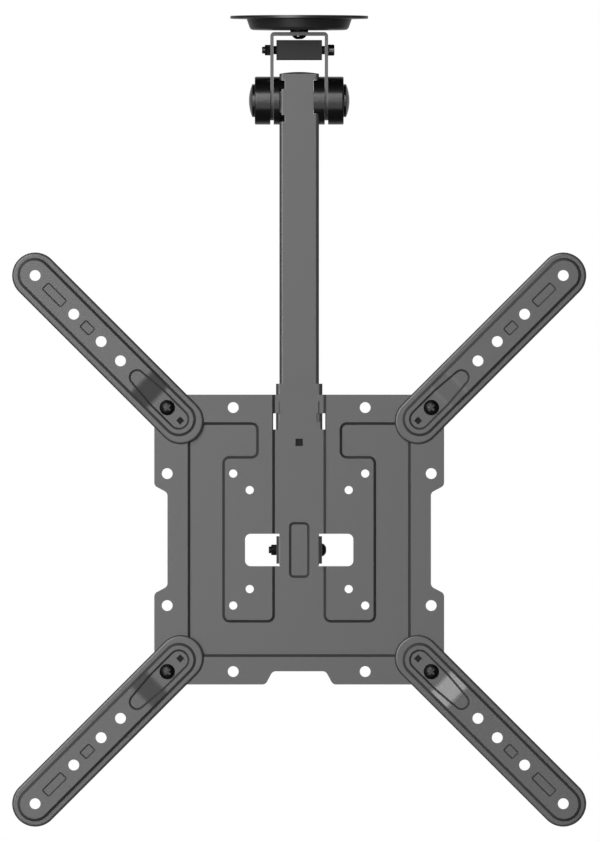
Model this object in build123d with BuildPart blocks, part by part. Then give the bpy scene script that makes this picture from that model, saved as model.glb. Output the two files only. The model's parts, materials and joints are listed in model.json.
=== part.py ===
from build123d import *
import os
from math import atan2, cos, degrees, hypot, radians, sin, sqrt

# Folding ceiling mount for a flat screen, in millimetres.
# Origin: centre of the face that meets the ceiling. +Z is up, and the screen hangs on the -Y side.
# A ceiling plate carries a swivelling yoke. A post folds in the yoke, and a pressed plate tilts on its foot.
# Four arms swing on the plate's corners and carry the holes for larger screens.

os.makedirs("parts", exist_ok=True)

# Clearances
running_gap = 0.08
bolt_gap = 0.1
slide_gap = 0.3
face_gap = 0.05

# Heads and sockets that the fasteners share
hex_crown = 0.5
hex_crown_angle = 45.0
head_rim = 0.8
socket_depth = 2.0

# Ceiling plate
ceiling_sheet = 2.0
flange_d = 104.5
dish_mouth_d = 80.0
dish_floor_d = 74.0
dish_bend_r = 1.0
ceiling_hole_d = 6.5
ceiling_hole_inset = 0.25
ceiling_hole_count = 4

# Swivel bolt, with its nut inside the dish and its head under the yoke
swivel_bolt_d = 6.0
swivel_head_d = 10.2
swivel_head_h = 3.0
swivel_socket_af = 4.0
swivel_spacer_d = 13.6
swivel_spacer_t = 1.8
swivel_washer_d = 12.0
swivel_washer_t = 1.2
swivel_nut_af = 10.0
swivel_nut_h = 5.0
swivel_thread_end = 1.6
ceiling_room = 0.8

# Yoke
yoke_sheet = 2.5
yoke_depth = 30.0
yoke_bend_r = 0.5
hinge_below_cross = 38.3

# Stop block and the cross bolt that holds it between the yoke's legs
block_head_room = 0.45
block_height = 15.1
block_depth = 18.0
block_edge_r = 0.8
collar_d = 6.4
collar_length = 2.1
cross_bolt_d = 5.0
cross_head_d = 8.5
cross_head_h = 4.8
cross_socket_af = 4.0
cross_nut_af = 8.0
cross_nut_h = 4.2
cross_thread_end = 2.1

# Fold hinge
hinge_d = 36.4
hinge_bolt_d = 8.0
hinge_head_af = 13.0
hinge_head_h = 5.3
hinge_nut_h = 8.0
hinge_thread_end = 1.5
hinge_washer_d = 16.0
hinge_washer_t = 1.6
hinge_sleeve_d = 14.0
cover_wall = 2.2
cover_edge_r = 1.0
cap_d = 25.0
cap_rim = 1.9
cap_rise = 4.4
cap_wall = 1.4
cap_plug_d = 20.6
cap_plug_wall = 1.2
cap_plug_length = 2.6
bushing_t = 4.35
lug_root_r = 12.0
lug_reach = 4.1
left_lug_angles = ((30.4, 57.2), (-62.2, -38.0))
right_lug_angles = ((-33.7, 57.2),)
lug_play = 0.5
groove_reach = 1.5

# Post
post_sheet = 2.0
post_width = 30.0
post_depth = 30.0
post_bend_r = 0.5
post_rise = 21.6
post_crown = 1.4
post_top_chamfer = 1.5
post_foot_taper = 55.0
post_web_end = 2.0
hinge_to_tilt = 340.7

# Tilt hinge at the post's foot
tilt_axis_y = -3.0
tilt_range = 15.0
tilt_bolt_d = 5.0
tilt_head_d = 9.6
tilt_head_h = 3.4
tilt_socket_af = 3.0
tilt_nut_af = 8.0
tilt_nut_h = 4.0
tilt_thread_end = 1.8
tilt_sleeve_d = 9.0

# Guide bracket and the bolt that locks the tilt in its arc slots
bracket_sheet = 2.3
bracket_bend_r = 0.5
bracket_height = 58.0
bracket_above_plate = 8.3
bracket_margin = 3.5
lock_above_bracket_foot = 12.0
lock_y = -8.0
lock_bolt_d = 6.0
lock_head_af = 10.0
lock_head_h = 4.0
lock_nut_h = 5.0
lock_thread_end = 1.5
lock_washer_d = 12.0
lock_washer_t = 1.2

# Screen plate
plate_sheet = 2.0
plate_margin = 9.8
plate_corner_r = 10.0
plate_above_tilt = 7.9
notch_depth = 10.0
notch_r = 4.0
side_notch_mouth = 81.6
side_notch_floor = 71.0
foot_notch_mouth = 51.0
foot_notch_floor = 40.3

# Sunk field of the screen plate: a frame round two panels, with a spine that runs up to the top edge
field_depth = 3.0
field_wall_run = 2.1
field_side_margin = 26.3
field_end_margin = 21.9
field_corner_r = 4.5
spine_margin = 1.8
panel_outer = 57.3
panel_foot = 61.9
hook_inner = 31.6
hook_foot = 62.3

# Ears bent back out of two windows, which carry the tilt bolt
ear_height = 20.8
ear_bend_r = 1.0
ear_bend_end = 0.2
ear_relief = 1.85
window_width = 82.0
window_corner_r = 4.2
window_root_inset = 0.8

# Press marks on the spine
dimple_width = 15.6
dimple_height = 42.4
dimple_depth = 1.6
dimple_run = 1.9
dimple_corner_r = 3.8
spine_hole_size = 5.6
hole_draft = 1.0
spine_hole_above_tilt = 81.5

# Slots beside the bracket's walls, stepped inwards at the top, with a slit that frees a tongue above each
tongue_slot_above_tilt = 91.3
tongue_slot_height = 12.2
tongue_slot_outset = 2.1
tongue_slot_width = 3.6
tongue_step_width = 3.0
tongue_step_height = 6.3
tongue_slit_inset = 1.4
tongue_slit_width = 0.9
tongue_slit_rise = 9.2

# Screw holes of the screen plate
wide_hole_d = 8.2
wide_hole_near = 50.0
arm_pitch = 100.0
small_hole_d = 6.2
small_hole_squares = (100.0, 75.0)

# Arms
arm_sheet = 2.0
arm_width = 35.0
arm_edge_r = 1.8
arm_screen_squares = (300.0, 400.0)
arm_inner_reach = 14.5
arm_rim = 4.5
arm_wall_run = 2.1
field_inner_reach = 12.5
field_overreach = 0.6
ramp_rise = 3.5
ramp_start = 11.2
ramp_end = 27.0
ramp_ease = 1.6
pocket_depth = 1.8
pocket_run = 1.6
pocket_inner_reach = 12.4
pocket_head_margin = 1.5
pocket_outer_reach = 32.3
pocket_outer_r = 5.5
arm_hole_d = 8.2
arm_key_reach = 14.0
arm_key_size = 4.4
pad_depth = 0.9
pad_run = 1.1
pad_corner_r = 1.6
pad_sizes = ((10.4, 7.7), (20.4, 7.7))

# Arm screws
arm_screw_d = 6.0
arm_head_d = 11.6
arm_head_h = 3.4
arm_recess_width = 1.5
arm_recess_span = 6.0
arm_recess_depth = 1.6
arm_nut_af = 10.0
arm_nut_h = 6.0
arm_thread_end = 1.5

# Heights of the axes and faces
dish_depth = ceiling_sheet + swivel_washer_t + swivel_nut_h + swivel_thread_end + ceiling_room
web_top = -dish_depth - swivel_spacer_t
web_under = web_top - yoke_sheet
block_top = web_under - swivel_head_h - block_head_room
cross_z = block_top - block_height / 2
hinge_z = cross_z - hinge_below_cross
post_top = hinge_z + post_rise
tilt_z = hinge_z - hinge_to_tilt
plate_z = tilt_z + plate_above_tilt

# Side faces, measured from the middle plane
post_outer = post_width / 2
post_inner = post_outer - post_sheet
leg_inner = post_outer + bushing_t + face_gap
leg_outer = leg_inner + yoke_sheet
block_end = leg_inner - collar_length
bracket_inner = post_outer + slide_gap
bracket_outer = bracket_inner + bracket_sheet
spine_half = bracket_outer + spine_margin
ear_inner = post_outer + slide_gap
ear_outer = ear_inner + plate_sheet
window_root = ear_inner - window_root_inset

# Levels from back to front; each is a distance from the middle plane towards the screen
post_front = post_depth / 2
bracket_back = post_front + slide_gap
spine_back = bracket_back + bracket_sheet
spine_front = spine_back + plate_sheet
plate_back = spine_back + field_depth
plate_front = plate_back + plate_sheet

# Sizes that follow from the pieces they hold
cover_length = cover_wall + hinge_washer_t + hinge_nut_h
plate_half = arm_pitch + plate_margin
window_height = ear_height + 2 * ear_relief
arm_root_height = arm_sheet + pocket_depth
arm_field_height = arm_root_height + ramp_rise
pocket_inner_r = arm_head_d / 2 + pocket_head_margin

# Reaches of the arm holes: one set for arms swung square to the plate, one for arms on its diagonals
swung_reaches = [square / 2 - arm_pitch for square in arm_screen_squares]
arm_hole_reaches = sorted(swung_reaches + [reach * sqrt(2) for reach in swung_reaches])
arm_outer_reach = arm_hole_reaches[-1]


def finish(piece, name):
    """Labels a finished piece and writes its file."""
    piece.part.label = name
    export_step(piece.part, f"parts/{name}.step")


def side_plane(x, y, z, side):
    """A plane across X that faces away from the middle on the given side; its own y runs up."""
    return Plane((side * x, y, z), x_dir=(0, side, 0), z_dir=(side, 0, 0))


def nearest_corner(sketch, x, y):
    """The corner of a sketch in progress that lies nearest to a point."""
    return sketch.vertices().sort_by_distance((x, y, 0))[0]


def ring(plane, outer_d, bore_d, length):
    """Adds a washer, collar or sleeve to the part in progress."""
    with BuildSketch(plane) as face:
        Circle(outer_d / 2)
        Circle(bore_d / 2, mode=Mode.SUBTRACT)
    extrude(face.sketch, amount=length)


def hex_prism(plane, across_flats, height):
    """Adds a hexagon with a turned-down crown, such as a bolt's head, to the part in progress."""
    with BuildSketch(plane) as base:
        RegularPolygon(across_flats / 2, 6, major_radius=False)
    extrude(base.sketch, amount=height - hex_crown)
    with BuildSketch(plane.offset(height - hex_crown)) as crown:
        RegularPolygon(across_flats / 2, 6, major_radius=False)
    extrude(crown.sketch, amount=hex_crown, taper=hex_crown_angle)


def hex_nut(plane, across_flats, bore_d, height):
    """Adds a hexagon nut to the part in progress."""
    hex_prism(plane, across_flats, height)
    with BuildSketch(plane) as bore:
        Circle(bore_d / 2)
    extrude(bore.sketch, amount=height, mode=Mode.SUBTRACT)


def shank(plane, diameter, length):
    """Adds a bolt's shank, behind the plane that its head sits on, to the part in progress."""
    with BuildSketch(plane) as section:
        Circle(diameter / 2)
    extrude(section.sketch, amount=-length)


def domed_head(plane, diameter, height, rim):
    """Adds a button head, with an upright rim under its dome, to the part in progress."""
    radius = diameter / 2
    rise = height - rim
    crown_r = (radius**2 + rise**2) / (2 * rise)
    half_angle = atan2(radius, crown_r - rise) / 2
    crown_mid = (crown_r * sin(half_angle), height - crown_r * (1 - cos(half_angle)))
    with BuildSketch(Plane(plane.origin, x_dir=plane.x_dir, z_dir=-plane.y_dir)) as section:
        with BuildLine():
            Polyline((0, height), (0, 0), (radius, 0), (radius, rim))
            ThreePointArc((radius, rim), crown_mid, (0, height))
        make_face()
    revolve(section.sketch, axis=Axis(plane.origin, plane.z_dir))


def hex_socket(plane, across_flats, depth):
    """Sinks a hexagon socket below the plane into the part in progress."""
    with BuildSketch(plane) as mouth:
        RegularPolygon(across_flats / 2, 6, major_radius=False)
    extrude(mouth.sketch, amount=-depth, mode=Mode.SUBTRACT)


def bore_along_x(y, z, diameter):
    """Bores a hole along X, right through the part in progress."""
    with BuildSketch(Plane.YZ) as bore:
        with Locations((y, z)):
            Circle(diameter / 2)
    extrude(bore.sketch, amount=2 * leg_outer, both=True, mode=Mode.SUBTRACT)


def channel(outer_half, front, back, sheet, bend_r, foot, top):
    """Adds an upright folded channel to the part in progress: a web in front, and two walls that run back."""
    inner_half = outer_half - sheet
    with BuildSketch(Plane.XY.offset(foot)) as profile:
        Polygon(
            (-outer_half, -front),
            (outer_half, -front),
            (outer_half, back),
            (inner_half, back),
            (inner_half, sheet - front),
            (-inner_half, sheet - front),
            (-inner_half, back),
            (-outer_half, back),
            align=None,
        )
        for side in (-1, 1):
            fillet(nearest_corner(profile, side * outer_half, -front), bend_r + sheet)
            fillet(nearest_corner(profile, side * inner_half, sheet - front), bend_r)
    extrude(profile.sketch, amount=top - foot)


# Ceiling plate: a drawn dish inside a flat flange
dish_slope = (dish_mouth_d - dish_floor_d) / 2 / (dish_depth - ceiling_sheet)
dish_across = ceiling_sheet * sqrt(1 + dish_slope**2)
mouth_inner_r = dish_mouth_d / 2 + dish_slope * ceiling_sheet - dish_across
floor_inner_r = dish_floor_d / 2 + dish_slope * ceiling_sheet - dish_across
# The holes' circle lies just inside the middle of the flange's flat ring
hole_circle_d = (dish_mouth_d + flange_d) / 2 - ceiling_hole_inset
with BuildPart() as ceiling_plate:
    with BuildSketch(Plane.XZ) as section:
        Polygon(
            (0, -dish_depth),
            (dish_floor_d / 2, -dish_depth),
            (dish_mouth_d / 2, -ceiling_sheet),
            (flange_d / 2, -ceiling_sheet),
            (flange_d / 2, 0),
            (mouth_inner_r, 0),
            (floor_inner_r, ceiling_sheet - dish_depth),
            (0, ceiling_sheet - dish_depth),
            align=None,
        )
        fillet(nearest_corner(section, dish_floor_d / 2, -dish_depth), dish_bend_r + ceiling_sheet)
        fillet(nearest_corner(section, floor_inner_r, ceiling_sheet - dish_depth), dish_bend_r)
        fillet(nearest_corner(section, dish_mouth_d / 2, -ceiling_sheet), dish_bend_r)
        fillet(nearest_corner(section, mouth_inner_r, 0), dish_bend_r + ceiling_sheet)
    revolve(axis=Axis.Z)
    with PolarLocations(hole_circle_d / 2, ceiling_hole_count, start_angle=180 / ceiling_hole_count):
        Hole(ceiling_hole_d / 2)
    Hole(swivel_bolt_d / 2 + bolt_gap)
finish(ceiling_plate, "ceiling_plate")

# Swivel stack: spacer under the dish, washer and lock nut inside it
dish_floor = Plane.XY.offset(ceiling_sheet - dish_depth)
swivel_bore_d = swivel_bolt_d + 2 * bolt_gap
with BuildPart() as swivel_spacer:
    ring(Plane.XY.offset(web_top), swivel_spacer_d, swivel_bore_d, swivel_spacer_t)
finish(swivel_spacer, "swivel_spacer")

with BuildPart() as swivel_washer:
    ring(dish_floor, swivel_washer_d, swivel_bore_d, swivel_washer_t)
finish(swivel_washer, "swivel_washer")

with BuildPart() as swivel_nut:
    hex_nut(dish_floor.offset(swivel_washer_t), swivel_nut_af, swivel_bore_d, swivel_nut_h)
finish(swivel_nut, "swivel_nut")

swivel_seat = Plane((0, 0, web_under), x_dir=(1, 0, 0), z_dir=(0, 0, -1))
swivel_grip = yoke_sheet + swivel_spacer_t + ceiling_sheet + swivel_washer_t + swivel_nut_h
with BuildPart() as swivel_bolt:
    domed_head(swivel_seat, swivel_head_d, swivel_head_h, head_rim)
    hex_socket(swivel_seat.offset(swivel_head_h), swivel_socket_af, socket_depth)
    shank(swivel_seat, swivel_bolt_d, swivel_grip + swivel_thread_end)
finish(swivel_bolt, "swivel_bolt")

# Yoke: one folded strip, with leg ends rounded about the hinge axis
leg_end = hinge_z - yoke_depth / 2
with BuildPart() as yoke:
    with BuildSketch(Plane.XZ) as strip:
        Polygon(
            (-leg_outer, leg_end),
            (-leg_outer, web_top),
            (leg_outer, web_top),
            (leg_outer, leg_end),
            (leg_inner, leg_end),
            (leg_inner, web_under),
            (-leg_inner, web_under),
            (-leg_inner, leg_end),
            align=None,
        )
        for side in (-1, 1):
            fillet(nearest_corner(strip, side * leg_outer, web_top), yoke_bend_r + yoke_sheet)
            fillet(nearest_corner(strip, side * leg_inner, web_under), yoke_bend_r)
    extrude(amount=yoke_depth / 2, both=True)
    with BuildSketch(Plane.YZ):
        with Locations((0, hinge_z)):
            Circle(yoke_depth / 2)
        with Locations((0, (hinge_z + web_top) / 2)):
            Rectangle(yoke_depth, web_top - hinge_z)
    extrude(amount=leg_outer, both=True, mode=Mode.INTERSECT)
    Hole(swivel_bolt_d / 2 + running_gap)
    bore_along_x(0, cross_z, cross_bolt_d + 2 * bolt_gap)
    bore_along_x(0, hinge_z, hinge_bolt_d + 2 * bolt_gap)
finish(yoke, "yoke")

# Stop block, held between the legs by the cross bolt and its collars
cross_bore_d = cross_bolt_d + 2 * bolt_gap
with BuildPart() as stop_block:
    with Locations((0, 0, cross_z)):
        Box(2 * block_end, block_depth, block_height)
    fillet(stop_block.edges().filter_by(Axis.X), block_edge_r)
    bore_along_x(0, cross_z, cross_bore_d)
finish(stop_block, "stop_block")

with BuildPart() as cross_collars:
    for side in (-1, 1):
        ring(side_plane(block_end, 0, cross_z, side), collar_d, cross_bore_d, collar_length)
finish(cross_collars, "cross_collars")

cross_seat = side_plane(leg_outer, 0, cross_z, 1)
with BuildPart() as cross_bolt:
    with BuildSketch(cross_seat):
        Circle(cross_head_d / 2)
    extrude(amount=cross_head_h)
    chamfer(cross_bolt.edges().sort_by(Axis.X)[-1], hex_crown)
    hex_socket(cross_seat.offset(cross_head_h), cross_socket_af, socket_depth)
    shank(cross_seat, cross_bolt_d, 2 * leg_outer + cross_nut_h + cross_thread_end)
finish(cross_bolt, "cross_bolt")

with BuildPart() as cross_nut:
    hex_nut(side_plane(leg_outer, 0, cross_z, -1), cross_nut_af, cross_bore_d, cross_nut_h)
finish(cross_nut, "cross_nut")


def hinge_cover(side):
    """A moulded drum: its floor is clamped on the yoke's leg, and its open end takes a cap."""
    leg_face = side_plane(leg_outer, 0, hinge_z, side)
    with BuildPart() as cover:
        with BuildSketch(leg_face):
            Circle(hinge_d / 2)
        extrude(amount=cover_length)
        fillet(cover.faces().sort_by(Axis(leg_face.origin, leg_face.z_dir))[-1].edges(), cover_edge_r)
        with BuildSketch(leg_face.offset(cover_wall)):
            Circle(hinge_d / 2 - cover_wall)
        extrude(amount=cover_length - 2 * cover_wall, mode=Mode.SUBTRACT)
        with BuildSketch(leg_face.offset(cover_length)):
            Circle(cap_plug_d / 2 + bolt_gap)
        extrude(amount=-cover_wall, mode=Mode.SUBTRACT)
        with BuildSketch(leg_face):
            Circle(hinge_bolt_d / 2 + bolt_gap)
        extrude(amount=cover_wall, mode=Mode.SUBTRACT)
    return cover


def hinge_cap(side):
    """A domed cap on an upright rim, with a plug that snaps into the cover's open end."""
    base = leg_outer + cover_length
    dome_rise = cap_rise - cap_rim
    dome_r = ((cap_d / 2) ** 2 + dome_rise**2) / (2 * dome_rise)
    hollow_r = dome_r - cap_wall
    centre = base + cap_rise - dome_r
    plug_r = cap_plug_d / 2
    plug_inner_r = plug_r - cap_plug_wall

    def on_dome(radius, off_axis):
        """The point of a dome at a distance from the hinge axis."""
        return (side * (centre + sqrt(radius**2 - off_axis**2)), hinge_z + off_axis)

    with BuildPart() as cap:
        with BuildSketch(Plane.XZ):
            with BuildLine():
                Polyline(
                    on_dome(dome_r, cap_d / 2),
                    (side * base, hinge_z + cap_d / 2),
                    (side * base, hinge_z + plug_r),
                    (side * (base - cap_plug_length), hinge_z + plug_r),
                    (side * (base - cap_plug_length), hinge_z + plug_inner_r),
                    on_dome(hollow_r, plug_inner_r),
                )
                ThreePointArc(
                    on_dome(hollow_r, plug_inner_r),
                    on_dome(hollow_r, plug_inner_r / 2),
                    on_dome(hollow_r, 0),
                )
                Line(on_dome(hollow_r, 0), on_dome(dome_r, 0))
                ThreePointArc(on_dome(dome_r, 0), on_dome(dome_r, cap_d / 4), on_dome(dome_r, cap_d / 2))
            make_face()
        revolve(axis=Axis((0, 0, hinge_z), (1, 0, 0)))
    return cap


def lug_sector(side, angles, root_r, tip_r):
    """Draws a ring sector on a side plane; its angles run up from the front of the hinge."""
    far = 3 * tip_r
    Circle(tip_r)
    Circle(root_r, mode=Mode.SUBTRACT)
    spread = [(-side * far * cos(radians(angle)), far * sin(radians(angle))) for angle in angles]
    Polygon((0, 0), *spread, align=None, mode=Mode.INTERSECT)


def hinge_bushing(side, lug_angles):
    """A bearing disc between the post and a leg, keyed to the post by lugs."""
    post_face = side_plane(post_outer, 0, hinge_z, side)
    with BuildPart() as bushing:
        ring(post_face, hinge_d, hinge_bolt_d + 2 * running_gap, bushing_t)
        for angles in lug_angles:
            with BuildSketch(post_face):
                lug_sector(side, angles, lug_root_r, hinge_d / 2)
            extrude(amount=-lug_reach)
    return bushing


# Fold hinge: covers, caps and keyed bushings on both sides of the post
hinge_sides = ((-1, "left", left_lug_angles), (1, "right", right_lug_angles))
for side, name, lug_angles in hinge_sides:
    finish(hinge_cover(side), f"{name}_hinge_cover")
    finish(hinge_cap(side), f"{name}_hinge_cap")
    finish(hinge_bushing(side, lug_angles), f"{name}_bushing")

washer_seat = leg_outer + cover_wall
head_seat = washer_seat + hinge_washer_t
hinge_bore_d = hinge_bolt_d + 2 * bolt_gap
with BuildPart() as hinge_washers:
    for side in (-1, 1):
        ring(side_plane(washer_seat, 0, hinge_z, side), hinge_washer_d, hinge_bore_d, hinge_washer_t)
finish(hinge_washers, "hinge_washers")

with BuildPart() as hinge_bolt:
    hex_prism(side_plane(head_seat, 0, hinge_z, 1), hinge_head_af, hinge_head_h)
    shank(side_plane(head_seat, 0, hinge_z, 1), hinge_bolt_d, 2 * head_seat + hinge_nut_h + hinge_thread_end)
finish(hinge_bolt, "hinge_bolt")

with BuildPart() as hinge_nut:
    hex_nut(side_plane(head_seat, 0, hinge_z, -1), hinge_head_af, hinge_bore_d, hinge_nut_h)
finish(hinge_nut, "hinge_nut")

# Post: a folded channel, open at the back, with a foot rounded about the tilt axis
post_foot_r = post_front + tilt_axis_y
post_foot = tilt_z - post_foot_r
web_end = tilt_z + post_web_end
taper_top = tilt_z + post_foot_taper
bracket_top = plate_z + plate_half + bracket_above_plate
bracket_foot = bracket_top - bracket_height
lock_z = bracket_foot + lock_above_bracket_foot
with BuildPart() as post:
    channel(post_outer, post_front, post_depth / 2, post_sheet, post_bend_r, post_foot, post_top)
    with BuildSketch(Plane.YZ):
        with Locations((tilt_axis_y, tilt_z)):
            Circle(post_foot_r)
        with Locations((0, (post_top + taper_top) / 2)):
            Rectangle(post_depth, post_top - taper_top)
        make_hull()
    extrude(amount=post_outer, both=True, mode=Mode.INTERSECT)
    with BuildSketch(Plane.XZ):
        with Locations((0, (web_end + post_foot) / 2)):
            Rectangle(2 * post_inner, web_end - post_foot)
    extrude(amount=post_front, mode=Mode.SUBTRACT)
    with BuildSketch(Plane.XZ):
        with BuildLine():
            shoulder = post_top - post_crown
            above = post_top + post_crown
            ThreePointArc((-post_outer, shoulder), (0, post_top), (post_outer, shoulder))
            Polyline(
                (post_outer, shoulder),
                (post_outer, above),
                (-post_outer, above),
                (-post_outer, shoulder),
            )
        make_face()
    extrude(amount=post_depth, both=True, mode=Mode.SUBTRACT)
    with BuildSketch(Plane.YZ):
        Polygon(
            (-post_front, post_top),
            (-post_front, post_top - post_top_chamfer),
            (post_top_chamfer - post_front, post_top),
            align=None,
        )
    extrude(amount=post_outer, both=True, mode=Mode.SUBTRACT)
    notch_inner_r = lug_root_r - bolt_gap
    notch_outer_r = hinge_d / 2 + bolt_gap
    for side, name, lug_angles in hinge_sides:
        for low, high in lug_angles:
            notch_foot, notch_top = [hinge_d / 2 * sin(radians(angle)) for angle in (low, high)]
            notch_back = hinge_d / 2 * min(cos(radians(low)), cos(radians(high)))
            with BuildSketch(side_plane(post_outer, 0, hinge_z, side)):
                lug_sector(side, (low - lug_play, high + lug_play), notch_inner_r, notch_outer_r)
                with Locations((-side * (hinge_d / 2 + notch_back) / 2, (notch_foot + notch_top) / 2)):
                    Rectangle(hinge_d / 2 - notch_back, notch_top - notch_foot + 2 * bolt_gap)
            extrude(amount=-lug_reach - bolt_gap, mode=Mode.SUBTRACT)
    groove_angles = (left_lug_angles[0][0], left_lug_angles[1][1])
    groove_top, groove_foot = [hinge_d / 2 * sin(radians(angle)) for angle in groove_angles]
    with BuildSketch(side_plane(post_outer, 0, hinge_z, -1)):
        with Locations(((hinge_d / 2 + lug_root_r) / 2, (groove_foot + groove_top) / 2)):
            Rectangle(hinge_d / 2 - lug_root_r, groove_top - groove_foot)
    extrude(amount=-groove_reach, mode=Mode.SUBTRACT)
    bore_along_x(0, hinge_z, hinge_bolt_d + 2 * running_gap)
    bore_along_x(tilt_axis_y, tilt_z, tilt_bolt_d + 2 * running_gap)
    bore_along_x(lock_y, lock_z, lock_bolt_d + 2 * bolt_gap)
finish(post, "post")

# Sleeves that keep the post's walls apart under the hinge bolt and the tilt bolt
hinge_wall = side_plane(-post_inner, 0, hinge_z, 1)
with BuildPart() as hinge_sleeve:
    ring(hinge_wall, hinge_sleeve_d, hinge_bolt_d + 2 * running_gap, 2 * post_inner)
finish(hinge_sleeve, "hinge_sleeve")

tilt_wall = side_plane(-post_inner, tilt_axis_y, tilt_z, 1)
with BuildPart() as tilt_sleeve:
    ring(tilt_wall, tilt_sleeve_d, tilt_bolt_d + 2 * running_gap, 2 * post_inner)
finish(tilt_sleeve, "tilt_sleeve")

# Guide bracket: a short channel round the post, with an arc slot in each wall for the lock bolt
slot_r = hypot(lock_z - tilt_z, lock_y - tilt_axis_y)
slot_angle = degrees(atan2(lock_z - tilt_z, lock_y - tilt_axis_y))
slot_width = lock_bolt_d + 2 * slide_gap
slot_end_y = tilt_axis_y + slot_r * cos(radians(slot_angle - tilt_range))
bracket_tail = slot_end_y + slot_width / 2 + bracket_margin
with BuildPart() as guide_bracket:
    channel(
        bracket_outer,
        spine_back,
        bracket_tail,
        bracket_sheet,
        bracket_bend_r,
        bracket_foot,
        bracket_top,
    )
    with BuildSketch(Plane.YZ):
        with BuildLine():
            path = CenterArc((tilt_axis_y, tilt_z), slot_r, slot_angle - tilt_range, tilt_range)
        SlotArc(path, slot_width)
    extrude(amount=bracket_outer, both=True, mode=Mode.SUBTRACT)
finish(guide_bracket, "guide_bracket")

# Bolt that locks the tilt: it is held in the post and slides in the bracket's slots
lock_face = bracket_outer + face_gap
lock_seat = lock_face + lock_washer_t
lock_bore_d = lock_bolt_d + 2 * bolt_gap
with BuildPart() as tilt_lock_washers:
    for side in (-1, 1):
        ring(side_plane(lock_face, lock_y, lock_z, side), lock_washer_d, lock_bore_d, lock_washer_t)
finish(tilt_lock_washers, "tilt_lock_washers")

with BuildPart() as tilt_lock_bolt:
    hex_prism(side_plane(lock_seat, lock_y, lock_z, 1), lock_head_af, lock_head_h)
    shank(side_plane(lock_seat, lock_y, lock_z, 1), lock_bolt_d, 2 * lock_seat + lock_nut_h + lock_thread_end)
finish(tilt_lock_bolt, "tilt_lock_bolt")

with BuildPart() as tilt_lock_nut:
    hex_nut(side_plane(lock_seat, lock_y, lock_z, -1), lock_head_af, lock_bore_d, lock_nut_h)
finish(tilt_lock_nut, "tilt_lock_nut")


def plate_plane(level):
    """A plane at a level of the screen plate, about the plate's centre, that faces the screen."""
    return Plane((0, -level, plate_z), x_dir=(1, 0, 0), z_dir=(0, -1, 0))


def mirrored(right_half):
    """Closes an outline, given from its right half, with the mirror image of that half."""
    return right_half + [(-x, y) for x, y in reversed(right_half)]


def plate_outline():
    """Draws the screen plate's outline, with a notch at each side and one at the foot."""
    inset = plate_half - notch_depth
    corners = mirrored(
        [
            (foot_notch_floor / 2, -inset),
            (foot_notch_mouth / 2, -plate_half),
            (plate_half, -plate_half),
            (plate_half, -side_notch_mouth / 2),
            (inset, -side_notch_floor / 2),
            (inset, side_notch_floor / 2),
            (plate_half, side_notch_mouth / 2),
            (plate_half, plate_half),
        ]
    )
    with BuildSketch() as outline:
        Polygon(*corners, align=None)
        for x, y in corners:
            radius = plate_corner_r if abs(x) == abs(y) else notch_r
            fillet(nearest_corner(outline, x, y), radius)
    add(outline.sketch)


def field_outline(grow):
    """Draws the sunk field at mid height of its walls, grown by a distance; its spine passes the top edge."""
    side = plate_half - field_side_margin
    end = plate_half - field_end_margin
    beyond = 2 * plate_half
    with BuildSketch() as outline:
        Polygon(
            *mirrored(
                [
                    (side, -end),
                    (side, end),
                    (hook_inner, end),
                    (hook_inner, hook_foot),
                    (panel_outer, hook_foot),
                    (panel_outer, -panel_foot),
                    (spine_half, -panel_foot),
                    (spine_half, beyond),
                ]
            ),
            align=None,
        )
        fillet(outline.vertices(), field_corner_r)
        offset(amount=grow)
    add(outline.sketch)


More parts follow.
